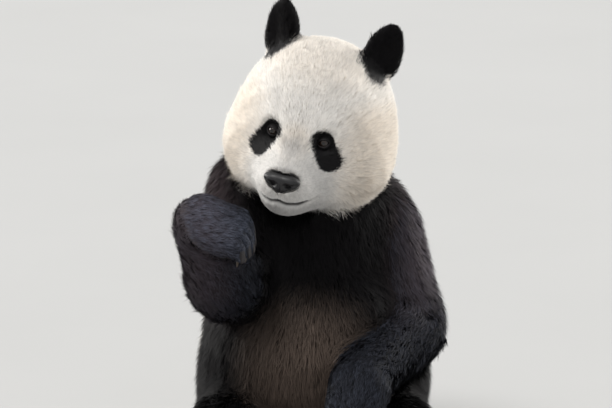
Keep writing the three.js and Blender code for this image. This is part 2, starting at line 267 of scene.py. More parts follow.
class Surface:
    """A mesh as arrays, with smoothing over its edges."""

    def __init__(self, mesh):
        self.mesh = mesh
        self.edges = read(mesh.edges, "vertices", 2, np.int32)
        self.count = len(mesh.vertices)
        self.places = read(mesh.vertices, "co", 3).astype(float)
        self.degree = np.bincount(self.edges.ravel(), minlength=self.count)

    def spread(self, values, rounds, share=0.5, mask=None):
        """Values evened out with those of neighbouring vertices."""
        columns = np.array(values, float).reshape(self.count, -1)
        first, second = self.edges.T
        strength = share if mask is None else share * mask[:, None]
        for _ in range(rounds):
            total = np.empty_like(columns)
            for k in range(columns.shape[1]):
                total[:, k] = np.bincount(first, columns[second, k], self.count)
                total[:, k] += np.bincount(second, columns[first, k], self.count)
            columns += strength * (total / self.degree[:, None] - columns)
        return columns.reshape(np.shape(values))

    def soften(self, rounds, mask=None):
        """Smooths the shape, with little loss of size."""
        for _ in range(rounds):
            self.places = self.spread(self.places, 1, 0.5, mask)
            self.places = self.spread(self.places, 1, -0.52, mask)

    def normals(self):
        self.mesh.vertices.foreach_set("co", self.places.astype(np.float32).ravel())
        self.mesh.update()
        return read(self.mesh.vertex_normals, "vector", 3).astype(float)


# ---------------------------------------------------------------- coat: how deep, long and wide

FLESH = ["head", "neck", "trunk", "tail", "ear_left", "ear_right"] + [
    f"{part}_{side}" for kind in LIMB_NODES.values() for part in kind for side in SIDES
]

# For each solid, in millimetres: depth of the coat, length and width of its tufts, the space
# between them, and how high they stand as a share of the depth.
HAIR = {
    "head": (16, 34, 1.3, 1.6, 1.0),
    "neck": (26, 42, 1.5, 2.1, 1.0),
    "trunk": (26, 44, 1.6, 2.25, 1.0),
    "tail": (20, 40, 1.5, 1.9, 1.15),
    "ear": (4, 19, 1.2, 1.35, 2.3),
    "upper_arm": (22, 42, 1.6, 2.2, 1.0),
    "forearm": (17, 36, 1.5, 2.0, 1.0),
    "forepaw": (7, 17, 1.1, 1.6, 1.0),
    "thigh": (24, 42, 1.8, 2.7, 1.0),
    "shin": (16, 32, 1.7, 2.5, 1.0),
    "hind_paw": (7, 16, 1.3, 2.0, 1.0),
}


def hair_of(label):
    """The row of HAIR for a solid on either side."""
    return HAIR[label.removesuffix("_left").removesuffix("_right")]


def belongs(labels, *starts):
    """Which labels name a part whose name starts in one of these ways."""
    return np.isin(labels, [k for k, name in enumerate(FLESH) if name.startswith(starts)])


def limb_of(label):
    """The limb that a solid belongs to and which stretch of it, from 0 to PAW, or two Nones."""
    for kind, parts in LIMB_NODES.items():
        for stretch, part in enumerate(parts):
            if label.startswith(part):
                return f"{kind}_{label.rsplit('_', 1)[1]}", stretch
    return None, None


def paw_of(limb):
    """The solid that is a limb's paw."""
    return f"{LIMB_NODES[limb[:3]][PAW]}_{limb[4:]}"


def digit_place(index):
    """Where a digit stands across its paw, from -1 to 1."""
    return (index - (DIGITS - 1) / 2) / ((DIGITS - 1) / 2)


def digit_across(limb, index):
    """The place of a digit across its paw, in the paw's frame."""
    return digit_place(index) * (PAW_SIZE[limb[:3]]["width"] / 2 - DIGIT_RADIUS)


# ---------------------------------------------------------------- landmarks of the head

MUZZLE = {"centre": (0, -128, -82), "radii": (74, 100, 62)}
NOSE_AT = (0, -206, -70)
HALF_MOUTH = ((0, -106), (14, -110), (32, -109), (48, -101), (60, -90))
MOUTH = [(-x, z) for x, z in HALF_MOUTH[:0:-1]] + list(HALF_MOUTH)
FAR_AWAY = 99             # the distance given behind the face, where no landmark matters
LIPS_FADE_FROM = 38       # across from the middle; the line of the mouth grows faint beyond it
PATCH = ((47, 4.5, 20.5), (66, -28, 19.5))      # across, up and radius of both ends of an eye patch


def mouth_gap(points):
    """Distance across and up from points of the head to the line of the mouth."""
    gaps = []
    for start, end in zip(MOUTH, MOUTH[1:]):
        gaps.append(near_bar(points[:, [0, 2]], start, end)[0])
    fading = 0.2 * np.maximum(np.abs(points[:, 0]) - LIPS_FADE_FROM, 0)
    return np.where(points[:, 1] < -105, np.min(gaps, axis=0) + fading, FAR_AWAY)


def patch_gap(points):
    """Distance outside the outline of the nearer eye patch, negative within it."""
    across = np.abs(points[:, 0])
    (x0, z0, r0), (x1, z1, r1) = PATCH
    gap, share = near_bar(np.stack([across, points[:, 2]], 1), (x0, z0), (x1, z1))
    return np.where(points[:, 1] < -40, gap - blend(r0, r1, share), FAR_AWAY)


def eye_centres():
    """The middle of each eye, by its side."""
    found = {}
    for name, side in SIDES.items():
        low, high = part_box(f"eye_{name}")
        found[side] = (low + high) / 2
    return found


eyes = eye_centres()


def eye_gap(places):
    """Distance from places to the middle of the nearer eye."""
    return np.min([np.linalg.norm(places - np.array(at), axis=1) for at in eyes.values()], axis=0) / MM


def gaze_of(side):
    """The direction in which an eye looks, in the world."""
    return aimed(Vector((side * EYE_GAZE[0], *EYE_GAZE[1:])).normalized(), head_frame)


# ---------------------------------------------------------------- pads of the paws


def pads_of(limb):
    """Pads in a paw's frame: centre on its sole and two radii."""
    length, width = PAW_SIZE[limb[:3]]["length"], PAW_SIZE[limb[:3]]["width"]
    found = [((0, -length * 0.5), (width * 0.38, length * 0.13))]
    if limb.startswith("arm"):
        aside = width * 0.26 * SIDES[limb[4:]]
        found.append(((-aside, -length * 0.2), (width * 0.13, length * 0.15)))
        found.append(((aside, -length * 0.16), (width * 0.1, length * 0.1)))
    for index in range(DIGITS):
        bow = 1 - digit_place(index) ** 2
        found.append(((digit_across(limb, index), -length * (0.79 + 0.12 * bow)), (10, length * 0.075)))
    return found


def pad_cover(places, labels):
    """1 on the bare pads, 0 elsewhere."""
    cover = np.zeros(len(places))
    for limb, matrix in paw_frames.items():
        local = to_local(places, matrix)
        on_sole = ramp(-6, -13, local[:, 2]) * belongs(labels, paw_of(limb))
        for centre, radii in pads_of(limb):
            share = 1 - ramp(0.8, 1.08, egg(local[:, :2], centre, radii))
            cover = np.maximum(cover, share * on_sole)
    return cover


# ---------------------------------------------------------------- the lie of the coat


def limb_flow(limb, stretch):
    """The way hair lies on a stretch of limb; it hangs a little, but not on the forearms."""
    if stretch == PAW:
        way = np.array(PAWS[limb]["reach"], float)
    else:
        way = np.subtract(LIMBS[limb][stretch + 1], LIMBS[limb][stretch]).astype(float)
    sag = 0 if LIMB_NODES[limb[:3]][stretch].startswith("fore") else 0.25
    return way / np.linalg.norm(way) - (0, 0, sag)


def head_flow(places):
    """Hair runs from the nose back over the face, and down behind the cheeks."""
    local = to_local(places, head_frame)
    away = unit(local - np.array(NOSE_AT))
    behind = ramp(-40, 110, local[:, 1])[:, None]
    low = ramp(-20, -110, local[:, 2])[:, None] * ramp(-150, -60, local[:, 1])[:, None]
    away = away + behind * np.array([0, 0.1, -0.9]) + low * np.array([0, 0.05, -0.7])
    return away @ np.array(head_frame)[:3, :3].T


def flow_of(label, places):
    """The way hair lies at each place on a solid."""
    if label == "head":
        return head_flow(places)
    if label.startswith("ear"):
        up = aimed((0, 0.1, 1), ear_frames[SIDES[label[4:]]])
        return np.tile(up, (len(places), 1))
    if label == "tail":
        return np.tile(np.subtract(TAIL[1], TAIL[0]), (len(places), 1)).astype(float)
    limb, stretch = limb_of(label)
    if limb:
        return np.tile(limb_flow(limb, stretch), (len(places), 1))
    back = ramp(-60, 120, places[:, 1] / MM)
    return np.stack([places[:, 0] * 0.9, 0.35 * back - 0.05, -np.ones(len(places))], 1)


# ---------------------------------------------------------------- markings


def head_patches(places, local):
    """Black round the eyes and at the roots of the ears, dark grey above the nose."""
    patch = 1 - ramp(-1.2, 1.2, patch_gap(local))
    for side, matrix in ear_frames.items():
        root = egg(to_local(places, matrix), (-side * 17, -12, -28), (33, 46, 35))
        patch = np.maximum(patch, 1 - ramp(0.9, 1.1, root))
    above_nose = egg(local, (0, -196, -60), (32, 26, 15))
    return np.maximum(patch, 0.6 - 0.6 * ramp(0.7, 1.25, above_nose))


def trunk_bands(x, y, z):
    """Black in front and round the shoulders, not on the nape, with wavy edges."""
    wave = 9 * np.sin(x / 38) + 5 * np.sin(x / 17 + z / 40)
    yoke = ramp(416, 438, z + 0.12 * np.abs(x) + wave) * (1 - ramp(588, 608, z - 0.25 * y + wave))
    flank = 11 * np.sin(z / 42) + 5 * np.sin(z / 19)
    front = 1 - ramp(0, 42, y + 0.35 * np.minimum(z - 240, 0) + flank)
    nape = ramp(-8, 26, y + 0.3 * (z - 600)) * ramp(575, 600, z)
    return np.maximum(np.maximum(yoke, front), ramp(520, 550, z)) * (1 - nape)


def head_greys(local, muzzle):
    """Where the head is greyer: the muzzle, between the eyes, and under the chin and lower ruff, where
    the grey is painted shade with a little dirt.
    """
    chin = ramp(-96, -116, local[:, 2]) * (local[:, 1] < -60)
    grey_between_eyes = 1 - ramp(0.2, 1.3, egg(local[:, [0, 2]], (0, -14), (28, 24)))
    # Painted shade under the chin and lower ruff, weaker towards the sides.
    low = 0.35 * chin * (1 - 0.5 * ramp(60, 130, np.abs(local[:, 0])))
    return np.maximum(0.6 * muzzle + low, 0.7 * grey_between_eyes * (local[:, 1] < -90))


def head_warmth(local, muzzle):
    """Where the head is straw-coloured: the cheeks, the crown and between the eyes."""
    cheek = ramp(50, 120, np.abs(local[:, 0])) * (1 - ramp(40, 110, local[:, 2]))
    between = 1 - ramp(0.2, 1.2, egg(local[:, [0, 2]], (0, -8), (34, 40)))
    crown = ramp(60, 130, local[:, 2]) * 0.5
    return np.maximum(np.maximum(cheek * 0.95, between * 0.8), crown) * (1 - 0.8 * muzzle)


def markings(places, labels):
    """How black, brown, grey and warm the coat is at each place, from 0 to 1, with a painted rim of
    light in the brown and painted sheen and shade in the grey.
    """
    local = to_local(places, head_frame)
    x, y, z = places.T / MM
    of_head = belongs(labels, "head")
    of_ear = belongs(labels, "ear")
    of_tail = belongs(labels, "tail")
    of_trunk = belongs(labels, "trunk", "neck", "tail")
    of_limb = ~(of_head | of_ear | of_trunk)

    black = np.where(of_trunk & ~of_tail, trunk_bands(x, y, z), 0.0)
    black = np.where(of_head, head_patches(places, local), black)
    black = np.where(of_ear | of_limb, 1.0, black)

    # Rusty brown on the outer shoulders and upper arms: partly the hair's own colour, partly a painted
    # rim of light.
    shoulder = ramp(115, 205, np.abs(x)) * ramp(280, 420, z)
    brown_and_rim_sheen = 0.75 * shoulder * (of_limb | of_trunk)

    muzzle = 1 - ramp(0.85, 1.3, egg(local, MUZZLE["centre"], MUZZLE["radii"]))
    # Bluish on black hair: painted sheen in streaks on the forearms, forepaws and left upper arm, most
    # on the raised right paw; also a little towards the front of the lower limbs.
    grey_sheen_and_shade = 0.2 * belongs(labels, "forearm") + 0.26 * belongs(labels, "forepaw")
    grey_sheen_and_shade += 0.34 * belongs(labels, "forepaw_right") + 0.18 * belongs(labels, "upper_arm_left")
    grey_sheen_and_shade = np.maximum(grey_sheen_and_shade, 0.08 * ramp(-150, -330, y) * (z < 230) * of_limb)
    # On the head the same value greys the muzzle and between the eyes, and paints shade under the chin.
    grey_sheen_and_shade = np.where(of_head, head_greys(local, muzzle) * (1 - black), grey_sheen_and_shade)

    belly = 1 - ramp(0.3, 1.15, egg(places / MM, (-10, -215, 235), (170, 110, 190)))
    warm = np.where(of_head, head_warmth(local, muzzle), 0.35) * (1 - black)
    warm += belly * of_trunk * black
    return {"black": black, "brown_and_rim_sheen": brown_and_rim_sheen, "grey_sheen_and_shade": grey_sheen_and_shade, "warm": warm}


# ---------------------------------------------------------------- the skin

SKIN_VOXEL = 4.5 * MM
LOWEST_SKIN = 2 * MM
LOWEST_HAIR = 0.8 * MM
PAD_DEPTH = 0.6           # how far a bare pad lies inside its solid


def near_face(middles):
    """Which places are on the front of the face."""
    local = to_local(middles, head_frame)
    return (local[:, 1] < -96) & (np.abs(local[:, 0]) < 92) & (local[:, 2] < 40)


def near_details(middles):
    """Which places are by an eye or along the mouth."""
    local = to_local(middles, head_frame)
    by_mouth = (mouth_gap(local) < 9) & (local[:, 1] < -115)
    return (eye_gap(middles) < 25) | by_mouth


def near_digits(middles):
    """Which places are on the digits of a paw."""
    found = np.zeros(len(middles), bool)
    for limb, matrix in paw_frames.items():
        length = PAW_SIZE[limb[:3]]["length"]
        offset = np.abs(to_local(middles, matrix) + (0, 0.8 * length, 10))
        found |= np.all(offset < (75, 0.32 * length, 55), axis=1)
    return found


def outline():
    """The solids of flesh as one even mesh, finest on the face."""
    corners, triangles, owners = node_surface(FLESH)
    mesh = remeshed(corners, triangles, SKIN_VOXEL)
    bm = bmesh.new()
    bm.from_mesh(mesh)
    keep_largest(bm)
    for wanted in (near_face, near_details, near_digits):
        refined(bm, wanted)
    bm.to_mesh(mesh)
    bm.free()
    surface = Surface(mesh)
    surface.soften(16)
    tree = BVHTree.FromPolygons(corners.tolist(), triangles.tolist())
    faces = [tree.find_nearest(place)[2] for place in surface.places.tolist()]
    return surface, owners[np.array(faces)]


def head_hair(places, values):
    """Shorter and finer hair towards the muzzle, the eyes and the crown."""
    local = to_local(places, head_frame)
    front = ramp(-20, -122, local[:, 1])
    crown = ramp(60, 125, local[:, 2]) * (1 - front)
    ruff = ramp(-50, -95, local[:, 2]) * ramp(-140, -70, local[:, 1])
    muzzle = 1 - ramp(0.95, 1.35, egg(local, MUZZLE["centre"], MUZZLE["radii"]))
    chin = muzzle * ramp(-108, -130, local[:, 2])
    by_eye = 1 - ramp(15, 42, eye_gap(places))
    steps = (             # where the hair differs, and its five values there, as in HAIR
        (front, (5.5, 16, 0.95, 1.28, 1.0)),
        (crown, (9, 23, 1.15, 1.5, 1.0)),
        (ruff, (20, 42, 1.4, 1.7, 1.1)),
        (muzzle, (2.6, 7, 0.8, 1.1, 1.0)),
        (chin, (4, 15, 0.85, 1.15, 1.2)),
        (by_eye, (3.2, 7, 0.85, 1.1, 1.0)),
    )
    found = np.tile(np.array(values, float), (len(places), 1))
    for share, aims in steps:
        found = blend(found, np.array(aims), share[:, None])
    return found


def paw_hair(places, values, limb):
    """Shorter hair towards the digits and on the sole."""
    local = to_local(places, paw_frames[limb])
    size = PAW_SIZE[limb[:3]]
    share = ramp(-0.45, -0.8, local[:, 1] / size["length"])
    share = np.maximum(share, ramp(-0.1, -0.3, local[:, 2] / size["thickness"]))
    found = np.tile(np.array(values, float), (len(places), 1))
    return blend(found, np.array([2.4, 7, 0.95, 1.45, 1.0]), share[:, None])


def coat_plan(surface, labels):
    """The five values of the coat and its lie, at each vertex."""
    plan = np.zeros((surface.count, 5))
    flow = np.zeros((surface.count, 3))
    for index, label in enumerate(FLESH):
        chosen = labels == index
        places = surface.places[chosen]
        plan[chosen] = hair_of(label)
        if label == "head":
            plan[chosen] = head_hair(places, HAIR["head"])
        limb, stretch = limb_of(label)
        if stretch == PAW:
            plan[chosen] = paw_hair(places, hair_of(label), limb)
        flow[chosen] = unit(flow_of(label, places))
    low = 1 - ramp(2, 14, surface.places[:, 2] / MM)
    plan[:, 0] = blend(plan[:, 0], 5, low)
    plan = surface.spread(plan, 10)
    normals = surface.normals()
    flow = surface.spread(flow, 24)
    flow = unit(flow - dot(flow, normals)[:, None] * normals)
    return plan, flow


def dent(gap, deep, wide):
    """A groove of some depth and half width, by the distance from its middle."""
    return -deep * np.exp(-((gap / wide) ** 2))


def carve_face(surface, normals):
    """Presses the line of the mouth and the groove below the nose into the skin."""
    local = to_local(surface.places, head_frame)
    gap = mouth_gap(local)
    philtrum, _ = near_bar(local[:, [0, 2]], (0, -84), (0, -106))
    philtrum = np.where(local[:, 1] < -150, philtrum, FAR_AWAY)
    shift = dent(gap, 5.8, 3.3) - dent(gap - 6.5, 1.8, 3.5) + dent(philtrum, 2.4, 1.9)
    surface.places += normals * (shift * MM)[:, None]


def carve_digits(surface, normals):
    """Presses the gaps between the digits into the paws."""
    for limb, matrix in paw_frames.items():
        local = to_local(surface.places, matrix)
        length = PAW_SIZE[limb[:3]]["length"]
        is_paw = belongs(labels, paw_of(limb))
        for index in range(DIGITS - 1):
            x = digit_across(limb, index + 0.5)
            gap, _ = near_bar(local[:, :2], (x * 0.95, -0.62 * length), (x * 1.05, -length))
            surface.places += normals * (dent(gap, 5, 3.2) * is_paw * MM)[:, None]


def sink_sockets(surface):
    """Keeps the skin behind each eyeball and out of the way of its lids."""
    for side, centre in eyes.items():
        gaze = gaze_of(side)
        offset = surface.places - np.array(centre)
        height = offset @ gaze / MM
        across = np.linalg.norm(offset - (offset @ gaze)[:, None] * gaze, axis=1) / MM
        allowed = blend(-3.0, 9.0, ramp(9, SOCKET_RADIUS, across))
        in_socket = (across < SOCKET_RADIUS) & (height > -30)
        lower = np.where(in_socket, np.minimum(height, allowed), height)
        surface.places += ((lower - height) * MM)[:, None] * gaze


surface, labels = outline()
plan, flow = coat_plan(surface, labels)
pads = pad_cover(surface.places, labels)
plan[:, 0] = blend(plan[:, 0], PAD_DEPTH, pads)
normals = unit(surface.spread(surface.normals(), 5))
surface.places -= normals * (plan[:, 0] * MM)[:, None]
surface.places[:, 2] = np.maximum(surface.places[:, 2], LOWEST_SKIN)
surface.soften(2, ramp(6, 16, plan[:, 0]))
carve_face(surface, surface.normals())
carve_digits(surface, surface.normals())
sink_sockets(surface)
skin_normals = surface.normals()

# ---------------------------------------------------------------- bake maps


def unwrapped(mesh):
    """Adds the map OFBake to a mesh, laid out by its own shape, and returns it corner by corner."""
    worked = linked("unwrap", mesh)
    bpy.context.view_layer.objects.active = worked
    worked.select_set(True)
    mesh.uv_layers.new(name="OFBake")
    bpy.ops.object.mode_set(mode="EDIT")
    bpy.ops.mesh.select_all(action="SELECT")
    bpy.ops.uv.smart_project(angle_limit=math.radians(70), island_margin=0.003)
    bpy.ops.object.mode_set(mode="OBJECT")
    worked.select_set(False)
    layer = read(mesh.uv_layers["OFBake"].data, "uv", 2)
    bpy.data.objects.remove(worked)
    return layer


def patch_map(name, chosen):
    """The bake map of some triangles of the skin, unwrapped on their own."""
    patch = bpy.data.meshes.new(name)
    used, flat = np.unique(chosen, return_inverse=True)
    patch.from_pydata(surface.places[used].tolist(), [], flat.reshape(-1, 3).tolist())
    return unwrapped(patch).reshape(-1, 3, 2)


def with_values(mesh, values):
    """Adds values, one or one for each vertex, that the shaders read by name."""
    for name, value in values.items():
        made = mesh.attributes.new(name, "FLOAT", "POINT")
        made.data.foreach_set("value", np.full(len(mesh.vertices), value, np.float32))


# ---------------------------------------------------------------- the coat

STEP = 14 * MM            # between the stations of a line along the lie of the coat
STATIONS = 5
BLADE_SHARES = np.array([0, 0.5, 1.0])       # rings of a blade, from its root to its tip
BLADE_WIDTHS = np.array([0.75, 1.0, 0.0])
BLADE_FACES = ((0, 1, 3, 2), (2, 3, 4))
EDGE_SIDES = (-1, 1, -1, 1, 0)               # of a blade's points: its two edges and its tip
MOST_BLADES = 66_000      # in one piece of the coat, three triangles each
LOCK_SIZE = 9             # blades that lean together, about
STRAY_SHARE = 0.08
SKIN_SHARE, OWN_SHARE = 0.78, 0.22           # of the skin's normal and a blade's own, in its shading
ROOT_SINK = 0.6 * MM      # how far a root goes into the skin
MOUTH_CLEARANCE = 2.7     # no hair lies nearer to the line of the mouth
BAKE_STRIP = 0.0014       # half the side of a blade's own patch of the map


def lie_lines():
    """Stations along the lie of the coat from every vertex: their places, normals and depths."""
    tree = KDTree(surface.count)
    for index, place in enumerate(surface.places.tolist()):
        tree.insert(place, index)
    tree.balance()
    places, ups, depths = [surface.places], [skin_normals], [plan[:, 0] * MM]
    heading = flow
    for _ in range(STATIONS - 1):
        target = places[-1] + heading * STEP
        nearest = np.array([tree.find(place)[1] for place in target.tolist()])
        up = skin_normals[nearest]
        target = target - dot(target - surface.places[nearest], up)[:, None] * up
        heading = unit(heading + flow[nearest])
        heading = unit(heading - dot(heading, up)[:, None] * up)
        places.append(target)
        ups.append(up)
        depths.append(depths[0][nearest])
    return np.stack(places, 1), np.stack(ups, 1), np.stack(depths, 1)


surface.mesh.calc_loop_triangles()
triangles = read(surface.mesh.loop_triangles, "vertices", 3, np.int32)
line_places, line_ups, line_depths = lie_lines()
# No hair grows on the pads, under the lids or on the line of the mouth.
cover_left = (1 - pads) * ramp(11.5, 14.5, eye_gap(surface.places))
cover_left *= ramp(0.8, 2.2, mouth_gap(to_local(surface.places, head_frame)))


def areas_of(chosen):
    """The areas of some triangles of the skin."""
    a, b, c = (surface.places[chosen[:, k]] for k in range(3))
    return np.linalg.norm(np.cross(b - a, c - a), axis=1) / 2


def sampled(chosen):
    """Roots spread evenly over triangles: which triangle, and the shares of its corners."""
    density = (cover_left / (plan[:, 3] * MM) ** 2)[chosen].mean(1)
    wanted = areas_of(chosen) * density
    count = min(int(wanted.sum()), MOST_BLADES)
    marks = (np.arange(count) + random.random(count)) / count * wanted.sum()
    picked = np.minimum(np.searchsorted(np.cumsum(wanted), marks), len(chosen) - 1)
    u, v = random.random((2, count))
    over = u + v > 1
    u[over], v[over] = 1 - u[over], 1 - v[over]
    return picked, np.stack([1 - u - v, u, v], 1)


def along_line(values, share):
    """Values of the stations at a number of steps along each line."""
    index = np.clip(share.astype(int), 0, STATIONS - 2)
    part = share - index
    rows = np.arange(len(values))
    if values.ndim == 3:
        part = part[:, None]
    return blend(values[rows, index], values[rows, index + 1], part)


def gathered(roots, ups, length, per_lock):
    """For each root, the way to the middle of its lock."""
    count = max(1, len(roots) // per_lock)
    middles = random.choice(len(roots), count, replace=False)
    tree = KDTree(count)
    for index, place in enumerate(roots[middles].tolist()):
        tree.insert(place, index)
    tree.balance()
    lock = middles[np.array([tree.find(place)[1] for place in roots.tolist()])]
    way = roots[lock] - roots
    way -= dot(way, ups)[:, None] * ups
    reach = np.linalg.norm(way, axis=1)
    return way * np.minimum(1, length * 0.4 / np.maximum(reach, 1e-6))[:, None], lock


def both_edges(left, right):
    """The two edges of a blade in turn, with one point at its tip."""
    pairs = np.stack([left, right], 2)
    return pairs.reshape(len(pairs), -1, 3)[:, :-1].copy()


def at_roots(values, shares):
    """Values at the roots, from those at the corners of their triangles."""
    weights = shares.reshape(shares.shape + (1,) * (values.ndim - 2))
    return np.sum(values * weights, axis=1)


class Blades:
    """Blades of hair that grow on triangles of the skin; the order of the random draws is fixed."""

    def __init__(self, corners, shares):
        self.count = len(corners)
        self.owners = labels[corners[np.arange(self.count), np.argmax(shares, 1)]]
        self.stations = at_roots(line_places[corners], shares)
        self.ups = unit(at_roots(line_ups[corners], shares))
        self.depths = at_roots(line_depths[corners], shares)
        self.root_up = self.ups[:, 0]
        self.draw_sizes(at_roots(plan[corners], shares))
        self.draw_leans()

    def draw_sizes(self, values):
        """Sizes of the blades; a few stray ones are finer and stand higher."""
        stray = random.random(self.count) < STRAY_SHARE
        self.length = values[:, 1] * MM * random.uniform(0.72, 1.15, self.count)
        self.width = values[:, 2] * MM * random.uniform(0.7, 1.25, self.count) * np.where(stray, 0.6, 1)
        self.lift = random.uniform(0.7, 1.08, self.count) * np.where(stray, 1.2, 1) * values[:, 4]

    def draw_leans(self):
        """How the blades gather in locks, swing aside, bend and roll."""
        self.way, lock = gathered(self.stations[:, 0], self.root_up, self.length, LOCK_SIZE)
        bias = random.normal(0, 1, self.count)
        self.lock_bias = bias[lock]
        self.swing = np.radians(8 * self.lock_bias + 7 * random.normal(0, 1, self.count))
        self.bend = random.normal(0, 0.07, self.count)
        self.pull = random.uniform(0.2, 0.6, self.count)
        self.roll = np.radians(random.normal(0, 13, self.count))

    def rings(self):
        """The middles of each blade's rings, from its root to its tip."""
        aside = unit(np.cross(self.root_up, self.stations[:, 1] - self.stations[:, 0]))
        height = np.minimum(self.depths[:, 0], self.length * 0.8)
        run = np.sqrt(np.maximum(self.length**2 - height**2, (0.4 * self.length) ** 2))
        found = []
        for share in BLADE_SHARES:
            steps = share * run / STEP
            rise = 1 - (1 - share) ** 1.7
            up = unit(along_line(self.ups, steps))
            deep = np.minimum(along_line(self.depths, steps), self.length * 0.85)
            above = deep * rise * self.lift - ROOT_SINK * (share == 0)
            drift = np.tan(self.swing) * run * share + self.bend * run * share**2
            middle = along_line(self.stations, steps) + up * above[:, None]
            middle += aside * drift[:, None] + self.way * (self.pull * share**1.3)[:, None]
            found.append(middle)
        return np.stack(found, 1)

    def outlines(self, rings):
        """The points of the blades and the way that each of them faces."""
        root_up = self.root_up[:, None, :]
        roll = self.roll[:, None, None]
        tangents = unit(np.gradient(rings, axis=1))
        across = unit(np.cross(tangents, root_up))
        across = across * np.cos(roll) + np.cross(across, tangents) * np.sin(roll)
        facing = unit(SKIN_SHARE * root_up + OWN_SHARE * np.cross(across, tangents))
        half = (0.5 * self.width[:, None] * BLADE_WIDTHS)[..., None]
        points = both_edges(rings - across * half, rings + across * half)
        points[..., 2] = np.maximum(points[..., 2], LOWEST_HAIR)
        return points, both_edges(facing, facing)

    def shade(self, rings):
        """The markings where each blade shows, with edges that long hair makes ragged."""
        ragged = (0.004 + 0.1 * self.length**2 / 0.044)[:, None]
        stray_mark = random.normal(0, 1, (self.count, 3)) * ragged
        stray_mark *= np.minimum(self.length / 0.04, 1)[:, None]
        found = markings(blend(rings[:, 0], rings[:, -1], 0.45) + stray_mark, self.owners)
        found["tint"] = 0.6 * random.uniform(-1, 1, self.count) + 0.4 * np.tanh(self.lock_bias)
        # The painted sheen on black hair comes in streaks, stronger or weaker blade by blade.
        found["grey_sheen_and_shade"] *= 1 + found["black"] * 0.9 * found["tint"]
        return found


def tufts(name, chosen):
    """One piece of the coat: blades over some triangles of the skin."""
    skin_map = patch_map(name, chosen)
    picked, shares = sampled(chosen)
    blades = Blades(chosen[picked], shares)
    rings = blades.rings()
    points, facing = blades.outlines(rings)
    shade = blades.shade(rings)
    gaps = [mouth_gap(to_local(ring, head_frame)) for ring in np.moveaxis(rings, 1, 0)]
    kept = np.min(gaps, axis=0) > MOUTH_CLEARANCE
    along = np.repeat(BLADE_SHARES, 2)[:-1]
    strip = np.stack([EDGE_SIDES, 2 * along - 1], 1) * BAKE_STRIP
    spots = at_roots(skin_map[picked], shares)[:, None, :] + strip
    shade = {key: np.repeat(value[kept], len(along)) for key, value in shade.items()}
    shade["along"] = np.tile(along, kept.sum())
    return blade_mesh(name, points[kept], facing[kept], spots[kept], shade)


def blade_mesh(name, points, facing, spots, shade):
    """A mesh of separate blades, with the map, the shading normals and the values."""
    count, each = points.shape[:2]
    corners = np.concatenate(BLADE_FACES)
    sizes = np.array([len(face) for face in BLADE_FACES])
    all_corners = (np.arange(count)[:, None] * each + corners).ravel().astype(np.int32)
    starts = (np.arange(count)[:, None] * sizes.sum() + np.cumsum(sizes) - sizes).ravel()
    mesh = bpy.data.meshes.new(name)
    mesh.vertices.add(count * each)
    mesh.vertices.foreach_set("co", points.astype(np.float32).ravel())
    mesh.loops.add(len(all_corners))
    mesh.loops.foreach_set("vertex_index", all_corners)
    mesh.polygons.add(count * len(sizes))
    mesh.polygons.foreach_set("loop_start", starts.astype(np.int32))
    layer = mesh.uv_layers.new(name="OFBake")
    flat = np.clip(spots.reshape(-1, 2), 0.0005, 0.9995)
    layer.data.foreach_set("uv", flat[all_corners].astype(np.float32).ravel())
    mesh.update(calc_edges=True)
    mesh.shade_smooth()
    mesh.normals_split_custom_set_from_vertices(facing.reshape(-1, 3).tolist())
    with_values(mesh, shade)
    return linked(name, mesh)


def piece_of_triangles():
    """The name of the coat piece of each triangle of the skin."""
    middle = surface.places[triangles].mean(1)
    local = to_local(middle, head_frame)
    owner = np.array(FLESH)[labels[triangles[:, 0]]]
    found = np.char.add("coat_head_", np.where(local[:, 0] > 0, "left", "right"))
    in_front = local[:, 1] < -20
    found[in_front] = np.where(local[in_front, 2] > 6, "coat_forehead", "coat_face")
    found[local[:, 2] > 118] = "coat_crown"
    is_trunk = np.isin(owner, ["trunk", "neck", "tail"])
    back = np.where(middle[:, 0] > 0, "coat_back_left", "coat_back_right")
    found[is_trunk] = np.where(middle[:, 1] < 0.02, "coat_chest", back)[is_trunk]
    for label in FLESH:
        limb, _ = limb_of(label)
        if limb:
            found[owner == label] = f"coat_{limb}"
    found[np.char.startswith(owner, "ear")] = "coat_ears"
    return found


# ---------------------------------------------------------------- shaders


class Value:
    """A socket of a shader; arithmetic on it adds Math nodes."""

    def __init__(self, shader, socket):
        self.shader = shader
        self.socket = socket

    def maths(self, operation, *terms):
        return self.shader.node("ShaderNodeMath", {"operation": operation}, dict(enumerate(terms)))

    def __add__(self, other):
        return self.maths("ADD", self, other)

    def __sub__(self, other):
        return self.maths("SUBTRACT", self, other)

    def __rsub__(self, other):
        return self.maths("SUBTRACT", other, self)

    def __mul__(self, other):
        return self.maths("MULTIPLY", self, other)

    __radd__ = __add__
    __rmul__ = __mul__


